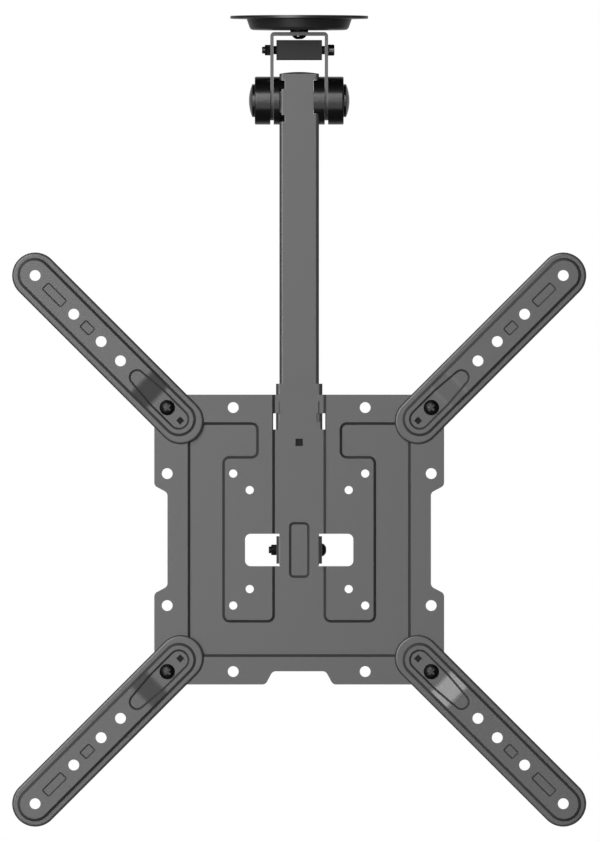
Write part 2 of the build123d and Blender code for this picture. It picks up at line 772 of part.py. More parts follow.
# Screen plate: one pressed sheet
field_slope = field_wall_run / field_depth
field_across = plate_sheet * sqrt(1 + field_slope**2)
back_grow = field_wall_run / 2 - field_slope * plate_sheet + field_across
floor_grow = back_grow - field_wall_run
with BuildPart() as screen_plate:
    with BuildSketch(plate_plane(spine_back)):
        field_outline(floor_grow)
    with BuildSketch(plate_plane(plate_back)):
        field_outline(back_grow)
    loft(ruled=True)
    with BuildSketch(plate_plane(plate_back)):
        plate_outline()
    extrude(amount=plate_sheet)
    with BuildSketch(plate_plane(spine_front)):
        field_outline(-field_wall_run / 2)
    with BuildSketch(plate_plane(plate_front)):
        field_outline(field_wall_run / 2)
    loft(ruled=True, mode=Mode.SUBTRACT)
    with BuildSketch(plate_plane(spine_back)):
        plate_outline()
    extrude(amount=plate_front - spine_back, mode=Mode.INTERSECT)
    # Windows that the ears are bent out of
    with BuildSketch(plate_plane(spine_back)):
        with Locations((0, -plate_above_tilt)):
            RectangleRounded(window_width, window_height, window_corner_r)
            Rectangle(2 * window_root, window_height, mode=Mode.SUBTRACT)
    extrude(amount=plate_front - spine_back, mode=Mode.SUBTRACT)
    # Ears
    blade_start = spine_back - ear_bend_r - ear_bend_end
    for side in (-1, 1):
        with BuildSketch(Plane.XY.offset(tilt_z - ear_height / 2)) as bend:
            Polygon(
                (side * window_root / 2, -spine_front),
                (side * ear_outer, -spine_front),
                (side * ear_outer, -blade_start),
                (side * ear_inner, -blade_start),
                (side * ear_inner, -spine_back),
                (side * window_root / 2, -spine_back),
                align=None,
            )
            fillet(nearest_corner(bend, side * ear_outer, -spine_front), ear_bend_r + plate_sheet)
            fillet(nearest_corner(bend, side * ear_inner, -spine_back), ear_bend_r)
        extrude(amount=ear_height)
        with BuildSketch(side_plane(ear_inner, 0, tilt_z, side)):
            with Locations((side * tilt_axis_y, 0)):
                Circle(ear_height / 2)
            with Locations((side * (tilt_axis_y - blade_start) / 2, 0)):
                Rectangle(tilt_axis_y + blade_start, ear_height)
        extrude(amount=plate_sheet)
    bore_along_x(tilt_axis_y, tilt_z, tilt_bolt_d + 2 * bolt_gap)
    # Sunk dimple at the tilt axis
    for level, mode in ((spine_back, Mode.ADD), (spine_front, Mode.SUBTRACT)):
        for deeper, inset in ((0, 0), (dimple_depth, dimple_run)):
            with BuildSketch(plate_plane(level - deeper)):
                with Locations((0, -plate_above_tilt)):
                    RectangleRounded(
                        dimple_width - 2 * inset, dimple_height - 2 * inset, dimple_corner_r - inset
                    )
        loft(ruled=True, mode=mode)
    # Square hole and tongue slots in the spine
    for level, inset in ((spine_back, hole_draft), (spine_front, 0)):
        with BuildSketch(plate_plane(level)):
            with Locations((0, spine_hole_above_tilt - plate_above_tilt)):
                Rectangle(spine_hole_size - 2 * inset, spine_hole_size - 2 * inset)
    loft(ruled=True, mode=Mode.SUBTRACT)
    slot_outer = bracket_outer + tongue_slot_outset
    slot_inner = slot_outer - tongue_slot_width
    step_inner = slot_inner - tongue_step_width
    slit_inner = step_inner + tongue_slit_inset
    slit_outer = slit_inner + tongue_slit_width
    slot_foot = tongue_slot_above_tilt - plate_above_tilt
    slot_top = slot_foot + tongue_slot_height
    step_foot = slot_top - tongue_step_height
    slit_top = slot_top + tongue_slit_rise
    slot_corners = (
        (slot_inner, slot_foot),
        (slot_outer, slot_foot),
        (slot_outer, slot_top),
        (slit_outer, slot_top),
        (slit_outer, slit_top),
        (slit_inner, slit_top),
        (slit_inner, slot_top),
        (step_inner, slot_top),
        (step_inner, step_foot),
        (slot_inner, step_foot),
    )
    with BuildSketch(plate_plane(spine_back)):
        for side in (-1, 1):
            Polygon(*[(side * x, y) for x, y in slot_corners], align=None)
    extrude(amount=plate_front - spine_back, mode=Mode.SUBTRACT)
    # Screw holes
    with Locations(plate_plane(plate_front)):
        for across, up in ((wide_hole_near, arm_pitch), (arm_pitch, wide_hole_near)):
            with GridLocations(2 * across, 2 * up, 2, 2):
                Hole(wide_hole_d / 2, plate_front - spine_back)
        for square in small_hole_squares:
            with GridLocations(square, square, 2, 2):
                Hole(small_hole_d / 2, plate_front - spine_back)
        with GridLocations(2 * arm_pitch, 2 * arm_pitch, 2, 2):
            Hole(arm_screw_d / 2 + bolt_gap, plate_front - spine_back)
finish(screen_plate, "screen_plate")

# Tilt bolt through the ears and the post's foot
with BuildPart() as tilt_bolt:
    tilt_seat = side_plane(ear_outer, tilt_axis_y, tilt_z, 1)
    domed_head(tilt_seat, tilt_head_d, tilt_head_h, head_rim)
    hex_socket(tilt_seat.offset(tilt_head_h), tilt_socket_af, socket_depth)
    shank(tilt_seat, tilt_bolt_d, 2 * ear_outer + tilt_nut_h + tilt_thread_end)
finish(tilt_bolt, "tilt_bolt")

with BuildPart() as tilt_nut:
    nut_seat = side_plane(ear_outer, tilt_axis_y, tilt_z, -1)
    hex_nut(nut_seat, tilt_nut_af, tilt_bolt_d + 2 * bolt_gap, tilt_nut_h)
finish(tilt_nut, "tilt_nut")


def pressed_bar(stations, mode):
    """Adds or cuts a bar along X: straight runs between stations, with a turned end at the first and last.

    A station gives its place on X, the half widths at its low and high face, and the heights of both faces.
    """
    sections = []
    for place, low_half, high_half, low, high in stations:
        with BuildSketch(Plane.YZ.offset(place)) as section:
            Polygon((-low_half, low), (low_half, low), (high_half, high), (-high_half, high), align=None)
        sections.append(section.sketch)
    loft(sections, ruled=True, mode=mode)
    for turn, (place, low_half, high_half, low, high) in ((1, stations[0]), (-1, stations[-1])):
        with BuildSketch(Plane.YZ.offset(place)) as section:
            Polygon((0, low), (low_half, low), (high_half, high), (0, high), align=None)
        revolve(section.sketch, axis=Axis((place, 0, 0), (0, 0, turn)), revolution_arc=180, mode=mode)


def eased(distance):
    """How far past a bend a place is: nothing before it, and a soft start within the ease of the bend."""
    within = min(max(distance + ramp_ease, 0), 2 * ramp_ease)
    return within**2 / (4 * ramp_ease) + max(distance - ramp_ease, 0)


def field_top(place):
    """Height of an arm's raised field: low over the pivot, with an eased ramp up to the outer part."""
    steepness = (arm_field_height - arm_root_height) / (ramp_end - ramp_start)
    return arm_root_height + steepness * (eased(place - ramp_start) - eased(place - ramp_end))


def pocket_half(place):
    """Half width of an arm's pocket at mid height of its walls: even over the pivot, then narrower."""
    along = max(place - ramp_start, 0) / (pocket_outer_reach - ramp_start)
    return pocket_inner_r + (pocket_outer_r - pocket_inner_r) * along


# Arm: one pressed sheet, modelled about its pivot with X along the arm and Z towards the screen
field_half = arm_width / 2 - arm_rim
ramp_places = [bend + step for bend in (ramp_start, ramp_end) for step in (-ramp_ease, 0, ramp_ease)]
bar_places = (-field_inner_reach, *ramp_places, arm_outer_reach + field_overreach)
skin_stations = []
hollow_stations = []
for place in bar_places:
    top = field_top(place)
    slope = arm_wall_run / (top - arm_sheet)
    inset = arm_sheet * sqrt(1 + slope**2)
    skin_stations.append((place, field_half, field_half - arm_wall_run, arm_sheet, top))
    hollow_low = field_half + slope * arm_sheet - inset
    hollow_stations.append((place, hollow_low, hollow_low - slope * (top - arm_sheet), 0, top - arm_sheet))
pocket_places = (-pocket_inner_reach, *ramp_places, pocket_outer_reach)
pocket_slope = pocket_run / pocket_depth
pocket_wall = arm_sheet * sqrt(1 + pocket_slope**2)
tray_stations = []
pocket_stations = []
for place in pocket_places:
    top = field_top(place)
    floor = top - pocket_depth
    mouth = pocket_half(place) + pocket_run / 2
    tray_top = mouth - pocket_slope * arm_sheet / 2 + pocket_wall
    tray_low = mouth - pocket_slope * (pocket_depth + arm_sheet) + pocket_wall
    tray_stations.append((place, tray_low, tray_top, floor - arm_sheet, top - arm_sheet / 2))
    pocket_stations.append((place, mouth - pocket_run, mouth + pocket_run, floor, top + pocket_depth))
with BuildPart() as arm:
    with BuildSketch():
        with Locations(((arm_outer_reach - arm_inner_reach) / 2, 0)):
            SlotCenterToCenter(arm_outer_reach + arm_inner_reach, arm_width)
    extrude(amount=arm_sheet)
    fillet(arm.faces().sort_by(Axis.Z)[-1].edges(), arm_edge_r)
    pressed_bar(skin_stations, Mode.ADD)
    pressed_bar(hollow_stations, Mode.SUBTRACT)
    pressed_bar(tray_stations, Mode.ADD)
    pressed_bar(pocket_stations, Mode.SUBTRACT)
    outer_gaps = zip(arm_hole_reaches[-3:-1], arm_hole_reaches[-2:])
    for (near, far), (pad_length, pad_width) in zip(outer_gaps, pad_sizes):
        for deeper, inset in ((0, 0), (pad_depth, pad_run)):
            with BuildSketch(Plane.XY.offset(arm_field_height - deeper)):
                with Locations(((near + far) / 2, 0)):
                    RectangleRounded(pad_length - 2 * inset, pad_width - 2 * inset, pad_corner_r - inset)
        loft(ruled=True, mode=Mode.SUBTRACT)
    for level, inset in ((0, hole_draft), (arm_sheet, 0)):
        with BuildSketch(Plane.XY.offset(level)):
            with Locations((-arm_key_reach, 0)):
                Rectangle(arm_key_size - 2 * inset, arm_key_size - 2 * inset)
    loft(ruled=True, mode=Mode.SUBTRACT)
    with Locations(*[(reach, 0, arm_field_height) for reach in arm_hole_reaches]):
        Hole(arm_hole_d / 2, arm_field_height)
    with Locations((0, 0, arm_field_height)):
        Hole(arm_screw_d / 2 + running_gap, arm_field_height)

corner_planes = []
for row, up in (("upper", 1), ("lower", -1)):
    for column, across in (("left", -1), ("right", 1)):
        pivot = (across * arm_pitch, -plate_front, plate_z + up * arm_pitch)
        corner_plane = Plane(pivot, x_dir=(across, 0, up), z_dir=(0, -1, 0))
        corner_planes.append(corner_plane)
        with BuildPart() as placed_arm:
            add(arm.part.moved(corner_plane.location))
        finish(placed_arm, f"{row}_{column}_arm")

# Arm screws, with their lock nuts behind the plate
with BuildPart() as arm_screws:
    for corner_plane in corner_planes:
        seat = corner_plane.offset(arm_sheet)
        domed_head(seat, arm_head_d, arm_head_h, head_rim)
        with BuildSketch(seat.offset(arm_head_h)):
            Rectangle(arm_recess_span, arm_recess_width)
            Rectangle(arm_recess_width, arm_recess_span)
        extrude(amount=-arm_recess_depth, mode=Mode.SUBTRACT)
        shank(seat, arm_screw_d, arm_sheet + plate_sheet + arm_nut_h + arm_thread_end)
finish(arm_screws, "arm_screws")

with BuildPart() as arm_nuts:
    for corner_plane in corner_planes:
        back_face = Plane(corner_plane.offset(-plate_sheet).origin, x_dir=(1, 0, 0), z_dir=(0, 1, 0))
        hex_nut(back_face, arm_nut_af, arm_screw_d + 2 * bolt_gap, arm_nut_h)
finish(arm_nuts, "arm_nuts")
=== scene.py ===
"""Finishes, small fastener detail and stage of a folding ceiling mount for a flat screen."""

import json
import math

import bmesh
import bpy
from bpy.props import FloatProperty, FloatVectorProperty, PointerProperty
from mathutils import Matrix, Vector


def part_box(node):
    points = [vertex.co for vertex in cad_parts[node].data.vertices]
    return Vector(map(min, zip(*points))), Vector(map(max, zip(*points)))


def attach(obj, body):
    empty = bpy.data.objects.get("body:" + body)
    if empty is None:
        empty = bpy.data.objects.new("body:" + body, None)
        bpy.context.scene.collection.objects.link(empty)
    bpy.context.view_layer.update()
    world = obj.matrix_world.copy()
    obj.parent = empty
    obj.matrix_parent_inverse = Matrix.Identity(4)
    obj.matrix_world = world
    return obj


bl_info = {
    "name": "TV Ceiling Mount",
    "version": (1, 0, 0),
    "blender": (4, 5, 0),
    "location": "View3D > Sidebar > Ceiling Mount",
    "description": "Dresses a folding TV ceiling mount with its finishes, threads and stage",
    "category": "Object",
}

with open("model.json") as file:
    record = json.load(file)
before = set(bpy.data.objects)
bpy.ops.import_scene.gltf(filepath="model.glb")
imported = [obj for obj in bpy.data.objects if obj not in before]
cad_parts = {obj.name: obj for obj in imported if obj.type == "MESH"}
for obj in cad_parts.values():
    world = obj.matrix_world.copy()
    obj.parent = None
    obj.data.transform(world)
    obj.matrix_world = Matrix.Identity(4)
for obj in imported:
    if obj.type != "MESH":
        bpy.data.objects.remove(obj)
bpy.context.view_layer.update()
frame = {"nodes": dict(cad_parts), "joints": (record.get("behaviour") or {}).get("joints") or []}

MM = 0.001

# Thread size and pitch
M5 = (5.0 * MM, 0.8 * MM)
M6 = (6.0 * MM, 1.0 * MM)

# Finishes that more than one operator uses
ACETAL = "Moulded black acetal"
SHADE_PLUG_BLACK = "Black plug, painted hole shade"
OXIDE = "Black-oxide steel"
PHOSPHATE = "Phosphated steel"
ZINC = "Zinc-plated steel"

# Pivots of the four arms on the screen plate
SWINGS = [joint for joint in frame["joints"] if joint["name"].endswith("_swing")]

# The ceiling plate gets a darker, duller copy of the coat: painted shade on its dish.
SHADE_PAINTED_COAT_PARTS = ("ceiling_plate",)
SHEET_STEEL = (
    "yoke",
    "post",
    "guide_bracket",
    "screen_plate",
    "upper_left_arm",
    "upper_right_arm",
    "lower_left_arm",
    "lower_right_arm",
)
COVER_MOULDINGS = (
    "left_hinge_cover",
    "right_hinge_cover",
    "left_hinge_cap",
    "right_hinge_cap",
    "left_bushing",
    "right_bushing",
)
BLOCK_MOULDINGS = ("swivel_spacer", "stop_block", "cross_collars")
OXIDE_FASTENERS = ("swivel_bolt", "cross_bolt", "cross_nut", "tilt_nut")
PHOSPHATE_FASTENERS = ("tilt_bolt", "arm_screws")
ZINC_FASTENERS = (
    "swivel_washer",
    "swivel_nut",
    "hinge_washers",
    "hinge_bolt",
    "hinge_nut",
    "hinge_sleeve",
    "tilt_sleeve",
    "tilt_lock_washers",
    "tilt_lock_bolt",
    "tilt_lock_nut",
    "arm_nuts",
)


def linear(code):
    """Turns an sRGB hex colour into linear red, green and blue."""
    parts = [int(code[i : i + 2], 16) / 255 for i in (1, 3, 5)]
    return tuple(p / 12.92 if p <= 0.04045 else ((p + 0.055) / 1.055) ** 2.4 for p in parts)


def add_node(tree, kind, inputs=None, **settings):
    """Adds a node with its settings; an input is given as a value, or as the socket that it is linked to."""
    node = tree.nodes.new(kind)
    for name, value in settings.items():
        setattr(node, name, value)
    for name, value in (inputs or {}).items():
        if isinstance(value, bpy.types.NodeSocket):
            tree.links.new(value, node.inputs[name])
        else:
            node.inputs[name].default_value = value
    return node


def empty_material(name):
    """A new material with an empty node tree."""
    material = bpy.data.materials.new(name)
    material.use_nodes = True
    material.node_tree.nodes.clear()
    return material


def dress(names, material):
    """Gives CAD nodes their finish."""
    for name in names:
        mesh = frame["nodes"][name].data
        mesh.materials.clear()
        mesh.materials.append(material)


def add_piece(name, shape, place, finish, body):
    """Turns a bmesh into a piece of the mount, in its place and finish, and ties it to a body."""
    shape.transform(place)
    bmesh.ops.recalc_face_normals(shape, faces=shape.faces)
    mesh = bpy.data.meshes.new(name)
    shape.to_mesh(mesh)
    shape.free()
    mesh.shade_smooth()
    mesh.set_sharp_from_angle(angle=math.radians(35.0))
    mesh.materials.append(bpy.data.materials[finish])
    piece = bpy.data.objects.new(name, mesh)
    bpy.context.scene.collection.objects.link(piece)
    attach(piece, body)


def along(direction, origin):
    """The place of a piece drawn about its own Z, turned to a direction and moved to an origin."""
    turn = Vector((0.0, 0.0, 1.0)).rotation_difference(Vector(direction))
    return Matrix.Translation(origin) @ turn.to_matrix().to_4x4()


def lathe(profile, steps):
    """A closed ring about Z, turned from a profile of radius and height."""
    shape = bmesh.new()
    rings = []
    for radius, height in profile:
        angles = [2 * math.pi * i / steps for i in range(steps)]
        rings.append([shape.verts.new((radius * math.cos(a), radius * math.sin(a), height)) for a in angles])
    for here, there in zip(rings, rings[1:] + rings[:1]):
        for i in range(steps):
            j = (i + 1) % steps
            shape.faces.new((here[i], here[j], there[j], there[i]))
    return shape


def thread(radius, pitch, length, depth):
    """A thread's ridge round a plain shank: a thin sleeve about Z whose skin rises and falls along a helix."""
    around, rows_a_pitch = 40, 10
    buried = radius - 0.1 * MM
    root = radius + 0.01 * MM
    # Share of a pitch's half that the ridge takes up at its foot, and that one flank of it takes up
    foot, flank = 0.85, 0.55
    rows = max(8, round(rows_a_pitch * length / pitch))
    skin = [(radius, length * row / rows) for row in range(rows + 1)]
    shape = lathe([(buried, 0.0), *skin, (buried, length)], around)
    for vertex in shape.verts:
        reach = vertex.co.xy.length
        if reach > (buried + radius) / 2:
            height = vertex.co.z
            turn = math.atan2(vertex.co.y, vertex.co.x) / (2 * math.pi)
            phase = (height / pitch - turn) % 1.0
            ridge = min(max((foot - abs(2 * phase - 1)) / flank, 0.0), 1.0)
            # The ridge runs out over the last half pitch
            tip = min((length - height) / (0.5 * pitch), 1.0)
            vertex.co.xy *= (root + depth * ridge * tip) / reach
    return shape


def arm_nut_face(joint):
    """The middle of the back face of the nut on an arm's screw."""
    across, _, up = joint["pos_m"]
    return Vector((across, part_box("arm_nuts")[1].y, up))


class MountFinishes(bpy.types.PropertyGroup):
    """Colours and surface sizes of the mount's finishes."""

    coat_colour: FloatVectorProperty(
        name="Powder coat",
        description="Body colour of the coat on the sheet steel",
        subtype="COLOR",
        min=0.0,
        max=1.0,
        default=linear("#393939"),
    )
    # The coat's colour darkened for the ceiling plate: painted shade on the dish.
    dish_painted_shade_colour: FloatVectorProperty(
        name="Ceiling plate",
        description="Body colour of the coat on the drawn ceiling plate",
        subtype="COLOR",
        min=0.0,
        max=1.0,
        default=linear("#202020"),
    )
    coat_roughness: FloatProperty(
        name="Coat roughness",
        description="How far the satin coat spreads a highlight",
        subtype="FACTOR",
        min=0.0,
        max=1.0,
        default=0.37,
    )
    coat_grain: FloatProperty(
        name="Coat grain",
        description="Width of one bump of the coat's orange-peel skin",
        subtype="DISTANCE",
        unit="LENGTH",
        min=0.0001,
        default=1.3 * MM,
    )
    cover_colour: FloatVectorProperty(
        name="Hinge covers",
        description="Colour of the moulded hinge covers, caps and bushings",
        subtype="COLOR",
        min=0.0,
        max=1.0,
        default=linear("#080809"),
    )
    block_colour: FloatVectorProperty(
        name="Stop block",
        description="Colour of the stop block, its collars and the swivel spacer",
        subtype="COLOR",
        min=0.0,
        max=1.0,
        default=linear("#0c0c0c"),
    )
    oxide_colour: FloatVectorProperty(
        name="Oxide fasteners",
        description="Colour of the black-oxide bolts and nuts",
        subtype="COLOR",
        min=0.0,
        max=1.0,
        default=linear("#565656"),
    )
    phosphate_colour: FloatVectorProperty(
        name="Phosphate fasteners",
        description="Colour of the black phosphated arm screws and tilt bolt",
        subtype="COLOR",
        min=0.0,
        max=1.0,
        default=linear("#3a3a3a"),
    )
    zinc_colour: FloatVectorProperty(
        name="Zinc fasteners",
        description="Colour of the zinc-plated bolts, nuts, washers and sleeves",
        subtype="COLOR",
        min=0.0,
        max=1.0,
        default=linear("#b4b7ba"),
    )


class MountDetails(bpy.types.PropertyGroup):
    """Sizes of the small pieces that dress the fasteners, and of the black plugs that paint shade in the
    square holes.
    """

    thread_depth: FloatProperty(
        name="Thread depth",
        description="Height of the thread's ridge over the plain shank",
        subtype="DISTANCE",
        unit="LENGTH",
        min=0.0,
        default=0.22 * MM,
    )
    ring_rise: FloatProperty(
        name="Lock ring rise",
        description="How far a nut's lock ring stands out of the nut",
        subtype="DISTANCE",
        unit="LENGTH",
        min=0.0,
        default=0.6 * MM,
    )
    ring_width: FloatProperty(
        name="Lock ring width",
        description="Width of the lock ring between the shank's thread and its own rim",
        subtype="DISTANCE",
        unit="LENGTH",
        min=0.0,
        default=1.0 * MM,
    )
    # The black plugs paint the shade inside the square holes; this sets how deep they sit.
    shade_plug_sink: FloatProperty(
        name="Plug sink",
        description="How far a plug in a square hole lies below the hole's mouth",
        subtype="DISTANCE",
        unit="LENGTH",
        min=0.0,
        default=1.0 * MM,
    )


class MountStage(bpy.types.PropertyGroup):
    """Camera, floor and light."""

    camera_distance: FloatProperty(
        name="Camera distance",
        description="Distance of the camera from the screen plate",
        subtype="DISTANCE",
        unit="LENGTH",
        min=1.0,
        default=20.0,
    )
    picture_height: FloatProperty(
        name="Picture height",
        description="Height of the picture at the screen plate",
        subtype="DISTANCE",
        unit="LENGTH",
        min=0.1,
        default=637.1 * MM,
    )
    floor_drop: FloatProperty(
        name="Floor drop",
        description="Height of the ceiling face over the floor",
        subtype="DISTANCE",
        unit="LENGTH",
        min=0.7,
        default=2.4,
    )
    floor_colour: FloatVectorProperty(
        name="Floor",
        description="Colour of the plain floor",
        subtype="COLOR",
        min=0.0,
        max=1.0,
        default=linear("#e9e9e8"),
    )
    key_power: FloatProperty(
        name="Key light",
        description="Power of the large softbox at the front left",
        subtype="POWER",
        unit="POWER",
        min=0.0,
        default=410.0,
    )
    fill_power: FloatProperty(
        name="Fill light",
        description="Power of the weak softbox below the key light",
        subtype="POWER",
        unit="POWER",
        min=0.0,
        default=65.0,
    )
    back_power: FloatProperty(
        name="Back light",
        description="Power of each of the two softboxes behind the mount",
        subtype="POWER",
        unit="POWER",
        min=0.0,
        default=225.0,
    )
    side_power: FloatProperty(
        name="Side light",
        description="Power of each of the two softboxes beside the mount",
        subtype="POWER",
        unit="POWER",
        min=0.0,
        default=140.0,
    )
    top_power: FloatProperty(
        name="Top light",
        description="Power of the overhead softbox",
        subtype="POWER",
        unit="POWER",
        min=0.0,
        default=40.0,
    )


class MOUNT_OT_coat_sheet_steel(bpy.types.Operator):
    """Coat the pressed and folded sheet parts"""

    bl_idname = "mount.coat_sheet_steel"
    bl_label = "Coat Sheet Steel"

    def execute(self, context):
        finishes = context.scene.mount_finishes
        # Pressed sheet steel, powder coated: a dark satin skin with a faint orange-peel grain. It goes pale
        # where it mirrors a lamp, and stays dark on the walls of the pressings.
        # Deep-drawn steel, powder coated in the same skin. Its copy is darker and a little duller, which is
        # painted shade on the dish.
        for name, names, colour, level in (
            ("Powder-coated sheet steel", SHEET_STEEL, finishes.coat_colour, 0.55),
            ("Powder coat with painted shade on the dish", SHADE_PAINTED_COAT_PARTS, finishes.dish_painted_shade_colour, 0.42),
        ):
            material = empty_material(name)
            tree = material.node_tree
            place = add_node(tree, "ShaderNodeTexCoord").outputs["Object"]
            # The real grain is about 0.4 mm wide; it is drawn three times as coarse so that it shows.
            peel = add_node(
                tree,
                "ShaderNodeTexNoise",
                {"Vector": place, "Scale": 1 / finishes.coat_grain, "Detail": 2.0, "Roughness": 0.5},
            )
            gloss = add_node(
                tree,
                "ShaderNodeMapRange",
                {
                    "Value": peel.outputs["Fac"],
                    "From Min": 0.3,
                    "From Max": 0.7,
                    "To Min": finishes.coat_roughness - 0.03,
                    "To Max": finishes.coat_roughness + 0.03,
                },
            )
            skin = add_node(
                tree,
                "ShaderNodeBump",
                {"Height": peel.outputs["Fac"], "Strength": 0.04, "Distance": 0.05 * MM},
            )
            shader = add_node(
                tree,
                "ShaderNodeBsdfPrincipled",
                {
                    "Base Color": (*colour, 1.0),
                    "IOR": 1.55,
                    "Specular IOR Level": level,
                    "Roughness": gloss.outputs["Result"],
                    "Normal": skin.outputs["Normal"],
                },
            )
            add_node(tree, "ShaderNodeOutputMaterial", {"Surface": shader.outputs["BSDF"]})
            dress(names, material)
        return {"FINISHED"}


class MOUNT_OT_finish_mouldings(bpy.types.Operator):
    """Finish the plastic covers, caps, bushings, spacer and stop block"""

    bl_idname = "mount.finish_mouldings"
    bl_label = "Finish Mouldings"

    def execute(self, context):
        finishes = context.scene.mount_finishes
        # ABS, moulded in a fine spark-eroded tool: deep black with one broad soft highlight.
        # Acetal, moulded in a coarser tool: a duller and slightly greyer black.
        # Black plugs in the square holes: a dead black with hardly any highlight, which paints the shade
        # inside the holes.
        for name, names, colour, index, roughness, grain in (
            ("Moulded black ABS", COVER_MOULDINGS, finishes.cover_colour, 1.58, 0.24, 0.6 * MM),
            (ACETAL, BLOCK_MOULDINGS, finishes.block_colour, 1.48, 0.66, 0.9 * MM),
            (SHADE_PLUG_BLACK, (), finishes.block_colour, 1.52, 0.9, 0.9 * MM),
        ):
            material = empty_material(name)
            tree = material.node_tree
            place = add_node(tree, "ShaderNodeTexCoord").outputs["Object"]
            # Spark erosion leaves pits of about 0.1 mm; they are drawn coarser so that they show.
            pits = add_node(tree, "ShaderNodeTexNoise", {"Vector": place, "Scale": 1 / grain, "Detail": 1.0})
            skin = add_node(
                tree,
                "ShaderNodeBump",
                {"Height": pits.outputs["Fac"], "Strength": 0.15, "Distance": 0.03 * MM},
            )
            shader = add_node(
                tree,
                "ShaderNodeBsdfPrincipled",
                {
                    "Base Color": (*colour, 1.0),
                    "IOR": index,
                    "Roughness": roughness,
                    "Normal": skin.outputs["Normal"],
                },
            )
            add_node(tree, "ShaderNodeOutputMaterial", {"Surface": shader.outputs["BSDF"]})
            dress(names, material)
        return {"FINISHED"}


class MOUNT_OT_finish_fasteners(bpy.types.Operator):
    """Finish the bolts, screws, nuts, washers and sleeves"""

    bl_idname = "mount.finish_fasteners"
    bl_label = "Finish Fasteners"

    def execute(self, context):
        finishes = context.scene.mount_finishes
        # Cold-headed steel, black oxide: nearly black, with a sharp metal glint on its edges.
        # Cold-headed steel, black phosphate: a matt black that takes only a weak glint.
        # Cold-headed steel, bright zinc plate: light grey metal with a slightly cloudy shine.
        for name, names, colour, roughness, spread in (
            (OXIDE, OXIDE_FASTENERS, finishes.oxide_colour, 0.28, 0.05),
            (PHOSPHATE, PHOSPHATE_FASTENERS, finishes.phosphate_colour, 0.36, 0.06),
            (ZINC, ZINC_FASTENERS, finishes.zinc_colour, 0.33, 0.1),
        ):
            material = empty_material(name)
            tree = material.node_tree
            place = add_node(tree, "ShaderNodeTexCoord").outputs["Object"]
            # The bath leaves clouds about 2 mm wide.
            cloud_width = 2.0 * MM
            cloud = add_node(
                tree, "ShaderNodeTexNoise", {"Vector": place, "Scale": 1 / cloud_width, "Detail": 2.0}
            )
            gloss = add_node(
                tree,
                "ShaderNodeMapRange",
                {
                    "Value": cloud.outputs["Fac"],
                    "From Min": 0.3,
                    "From Max": 0.7,
                    "To Min": roughness - spread,
                    "To Max": roughness + spread,
                },
            )
            shader = add_node(
                tree,
                "ShaderNodeBsdfPrincipled",
                {
                    "Base Color": (*colour, 1.0),
                    "Metallic": 1.0,
                    "Roughness": gloss.outputs["Result"],
                },
            )
            add_node(tree, "ShaderNodeOutputMaterial", {"Surface": shader.outputs["BSDF"]})
            dress(names, material)
        return {"FINISHED"}


class MOUNT_OT_cut_threads(bpy.types.Operator):
    """Cut the threads on the bolt ends that stand out of their nuts"""

    bl_idname = "mount.cut_threads"
    bl_label = "Cut Threads"

    def execute(self, context):
        details = context.scene.mount_details
        # Bolt, its nut, the way its end points, thread, body, finish and slot
        for bolt, nut, end, (size, pitch), body, finish, slot in (
            ("swivel_bolt", "swivel_nut", (0, 0, 1), M6, "ceiling", OXIDE, "black_fastener"),
            ("cross_bolt", "cross_nut", (-1, 0, 0), M5, "yoke", OXIDE, "black_fastener"),
            ("tilt_bolt", "tilt_nut", (-1, 0, 0), M5, "plate", PHOSPHATE, "black_fastener"),
            ("tilt_lock_bolt", "tilt_lock_nut", (-1, 0, 0), M6, "post", ZINC, "zinc_steel"),
        ):
            low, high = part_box(nut)
            way = Vector(end)
            face = (low + high) / 2 + way * abs(way.dot(high - low)) / 2
            length = max(way.dot(corner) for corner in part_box(bolt)) - way.dot(face)
            shape = thread(size / 2, pitch, length, details.thread_depth)
            add_piece(bolt + "_thread", shape, along(end, face), finish, body)
        size, pitch = M6
        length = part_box("arm_screws")[1].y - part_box("arm_nuts")[1].y
        for joint in SWINGS:
            shape = thread(size / 2, pitch, length, details.thread_depth)
            place = along((0, 1, 0), arm_nut_face(joint))
            name = joint["name"].replace("swing", "screw_thread")
            add_piece(name, shape, place, PHOSPHATE, "plate")
        return {"FINISHED"}


class MOUNT_OT_seat_lock_rings(bpy.types.Operator):
    """Seat the nylon rings of the lock nuts"""

    bl_idname = "mount.seat_lock_rings"
    bl_label = "Seat Lock Rings"

    def execute(self, context):
        details = context.scene.mount_details
        swivel_face = Vector((0.0, 0.0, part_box("swivel_nut")[1].z))
        low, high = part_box("tilt_lock_nut")
        middle = (low + high) / 2
        tilt_face = Vector((low.x, middle.y, middle.z))
        # Ring, middle of its nut's outer face, the way that face looks, and body
        rings = [
            ("swivel_lock_ring", swivel_face, (0, 0, 1), "ceiling"),
            ("tilt_lock_ring", tilt_face, (-1, 0, 0), "post"),
        ]
        for joint in SWINGS:
            name = joint["name"].replace("swing", "lock_ring")
            rings.append((name, arm_nut_face(joint), (0, 1, 0), "plate"))
        seat, play, steps = 0.2 * MM, 0.05 * MM, 48
        bore = M6[0] / 2 + details.thread_depth + play
        rim = bore + details.ring_width
        rise = details.ring_rise
        # Square at its foot, rounded over at its rim and bevelled at its bore
        profile = (
            (bore, -seat),
            (rim, -seat),
            (rim, 0.55 * rise),
            (rim - 0.1 * MM, 0.85 * rise),
            (rim - 0.3 * MM, rise),
            (bore + 0.15 * MM, rise),
            (bore, 0.75 * rise),
        )
        for name, face, end, body in rings:
            add_piece(name, lathe(profile, steps), along(end, face), ACETAL, body)
        return {"FINISHED"}


